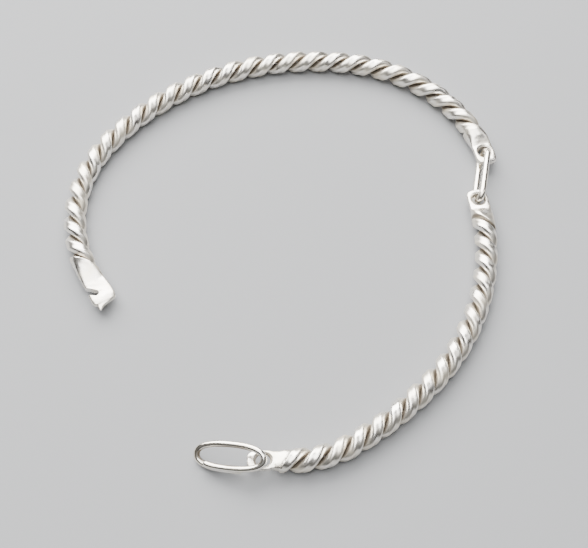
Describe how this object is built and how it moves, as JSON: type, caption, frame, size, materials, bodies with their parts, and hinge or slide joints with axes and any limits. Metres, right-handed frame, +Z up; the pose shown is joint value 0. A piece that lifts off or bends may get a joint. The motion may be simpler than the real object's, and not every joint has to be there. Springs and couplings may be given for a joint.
{
  "type": "bangle bracelet",
  "caption": "Hinged bangle of twisted silver wire: two arcs joined by an oval link, closed by a wire ring over a slotted hook.",
  "frame": {"origin": "on the surface the bangle lies on, under the middle of its outline", "axes": "+Z up out of the bangle's plane, +Y towards the crown of the long arc, +X towards the hinge link"},
  "size_m": [0.0656, 0.0736, 0.0043],
  "materials": {
    "twisted_silver": "polished silver wire with slight tarnish in the grooves",
    "hammered_silver": "polished silver with a slightly uneven, hand-worked surface",
    "link_silver": "bright polished silver wire"
  },
  "bodies": {
    "long_arc": {"long_arc_wire_a": "twisted_silver", "long_arc_wire_b": "twisted_silver", "long_arc_hinge_end": "hammered_silver", "hook_end": "hammered_silver"},
    "hinge_link": {"hinge_link": "link_silver"},
    "short_arc": {"short_arc_wire_a": "twisted_silver", "short_arc_wire_b": "twisted_silver", "short_arc_hinge_end": "hammered_silver", "clasp_end": "hammered_silver"},
    "clasp_ring": {"clasp_ring": "link_silver"}
  },
  "joints": [
    {"name": "link_swing", "type": "hinge", "parent": "long_arc", "child": "hinge_link", "pos_m": [0.03105, 0.01635, 0.00166], "axis": [0, 0, 1], "range_deg": [-4, 40]},
    {"name": "short_arc_swing", "type": "hinge", "parent": "hinge_link", "child": "short_arc", "pos_m": [0.02937, 0.00737, 0.00166], "axis": [0, 0, 1], "range_deg": [-18, 50]},
    {"name": "ring_swing", "type": "hinge", "parent": "short_arc", "child": "clasp_ring", "pos_m": [-0.0025, -0.03486, 0.00166], "axis": [0, 0, 1], "range_deg": [-35, 35]}
  ]
}
